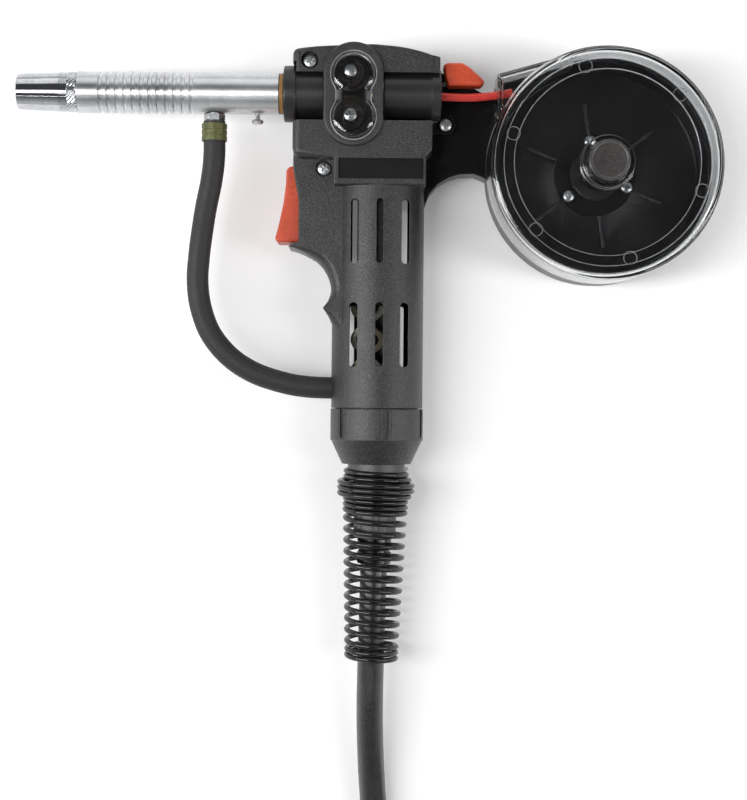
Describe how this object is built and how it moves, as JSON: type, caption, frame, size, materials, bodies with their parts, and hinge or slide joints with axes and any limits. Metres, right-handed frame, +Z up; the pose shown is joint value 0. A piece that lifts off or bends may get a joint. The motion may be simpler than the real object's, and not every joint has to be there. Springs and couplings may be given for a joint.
{
  "type": "mig welding spool gun",
  "caption": "Pistol-grip MIG welding torch with a long barrel, wire-drive head, round clear-lidded spool canister and cable.",
  "frame": {"origin": "middle of the torch's bounding box on the table that it lies on, without its cable", "axes": "+X from the nozzle towards the spool canister, +Y from the cable up the grip, +Z up from the table"},
  "size_m": [0.4309, 0.5793, 0.063],
  "materials": {
    "housing": "grained charcoal moulding",
    "black_smooth": "smooth satin black moulding",
    "black_gloss": "glossy black",
    "red_plastic": "orange-red moulding",
    "clear_plastic": "clear polycarbonate",
    "cable_rubber": "black cable and hose rubber",
    "aluminium": "satin turned aluminium",
    "chrome": "chromed",
    "zinc": "zinc plated steel",
    "brass": "dull brass",
    "steel": "plain steel",
    "copper": "copper alloy",
    "insulator": "tan insulating plastic",
    "grey_plastic": "grey plastic"
  },
  "bodies": {
    "frame": {"left_shell": "housing", "strain_nut": "housing", "drive_housing": "black_smooth", "strain_neck": "black_smooth", "trigger_switch": "black_smooth", "spool_spindle": "black_smooth", "cable_tie": "black_smooth", "right_shell": "black_gloss", "canister_base": "black_gloss", "spring_guard": "black_gloss", "wire_conduit": "red_plastic", "gas_hose": "cable_rubber", "cable_run": "cable_rubber", "cable_coil": "cable_rubber", "cable_tail": "cable_rubber", "plug_body": "cable_rubber", "barrel_tube": "aluminium", "motor": "aluminium", "barrel_screw": "zinc", "idler_pivot": "zinc", "gearbox": "zinc", "housing_screw_1": "zinc", "housing_screw_2": "zinc", "housing_screw_3": "zinc", "hub_screw_1": "zinc", "hub_screw_2": "zinc", "hub_screw_3": "zinc", "hose_fitting": "zinc", "spindle_nut": "zinc", "cable_clamp": "zinc", "gas_diffuser": "brass", "inlet_guide": "brass", "hose_ferrule": "brass", "power_pin": "brass", "outlet_guide": "steel", "pressure_spring": "steel", "trigger_pin": "steel", "brake_spring": "steel", "contact_tip": "copper", "barrel_insulator": "insulator", "motor_lead_2": "insulator", "cable_ferrule": "grey_plastic", "motor_lead_1": "grey_plastic"},
    "nozzle": {"nozzle": "chrome"},
    "trigger": {"trigger": "red_plastic", "trigger_spring": "steel"},
    "pressure_arm": {"idler_arm": "steel", "pressure_lever": "red_plastic", "lever_pin": "steel"},
    "idler_roll": {"idler_roll": "steel", "idler_roll_screw": "zinc"},
    "drive_roll": {"drive_roll": "steel", "drive_roll_screw": "zinc", "drive_shaft": "steel", "worm_wheel": "brass"},
    "motor_worm": {"worm": "steel"},
    "spool_hub": {"spool_hub": "grey_plastic"},
    "canister_cover": {"canister_cover": "clear_plastic"},
    "canister_knob": {"canister_knob": "black_smooth"},
    "drive_window": {"drive_window": "clear_plastic"}
  },
  "joints": [
    {"name": "trigger_pull", "type": "hinge", "parent": "frame", "child": "trigger", "pos_m": [-0.0303, 0.08905, 0.0231], "axis": [0, 0, 1], "range_deg": [0, 6], "stiffness_Nm_per_rad": 0.4, "springref_deg": -6.88},
    {"name": "lever_press", "type": "hinge", "parent": "frame", "child": "pressure_arm", "pos_m": [0.0197, 0.13305, 0.0341], "axis": [0, 0, -1], "range_deg": [0, 2.3], "stiffness_Nm_per_rad": 2, "springref_deg": -11.46},
    {"name": "idler_roll_spin", "type": "hinge", "parent": "pressure_arm", "child": "idler_roll", "pos_m": [-0.0085, 0.13935, 0.0341], "axis": [0, 0, 1], "continuous": true},
    {"name": "drive_roll_spin", "type": "hinge", "parent": "frame", "child": "drive_roll", "pos_m": [-0.0085, 0.11765, 0.0341], "axis": [0, 0, 1], "continuous": true},
    {"name": "motor_spin", "type": "hinge", "parent": "frame", "child": "motor_worm", "pos_m": [0.0057, 0.11765, 0.0231], "axis": [0, 1, 0], "continuous": true},
    {"name": "spool_hub_spin", "type": "hinge", "parent": "frame", "child": "spool_hub", "pos_m": [0.1157, 0.09385, 0.02], "axis": [0, 0, 1], "continuous": true},
    {"name": "cover_lift", "type": "slide", "parent": "frame", "child": "canister_cover", "axis": [0, 0, 1], "range_m": [0, 0.06]},
    {"name": "knob_turn", "type": "hinge", "parent": "canister_cover", "child": "canister_knob", "pos_m": [0.1157, 0.09385, 0.058], "axis": [0, 0, 1], "range_deg": [0, 1080]},
    {"name": "window_lift", "type": "slide", "parent": "frame", "child": "drive_window", "axis": [0, 0, 1], "range_m": [0, 0.012]},
    {"name": "nozzle_pull", "type": "slide", "parent": "frame", "child": "nozzle", "axis": [-1, 0, 0], "range_m": [0, 0.032]}
  ],
  "couplings": [
    {"joint": "idler_roll_spin", "follows": "drive_roll_spin", "ratio": -1.1458},
    {"joint": "motor_spin", "follows": "drive_roll_spin", "ratio": 20}
  ]
}
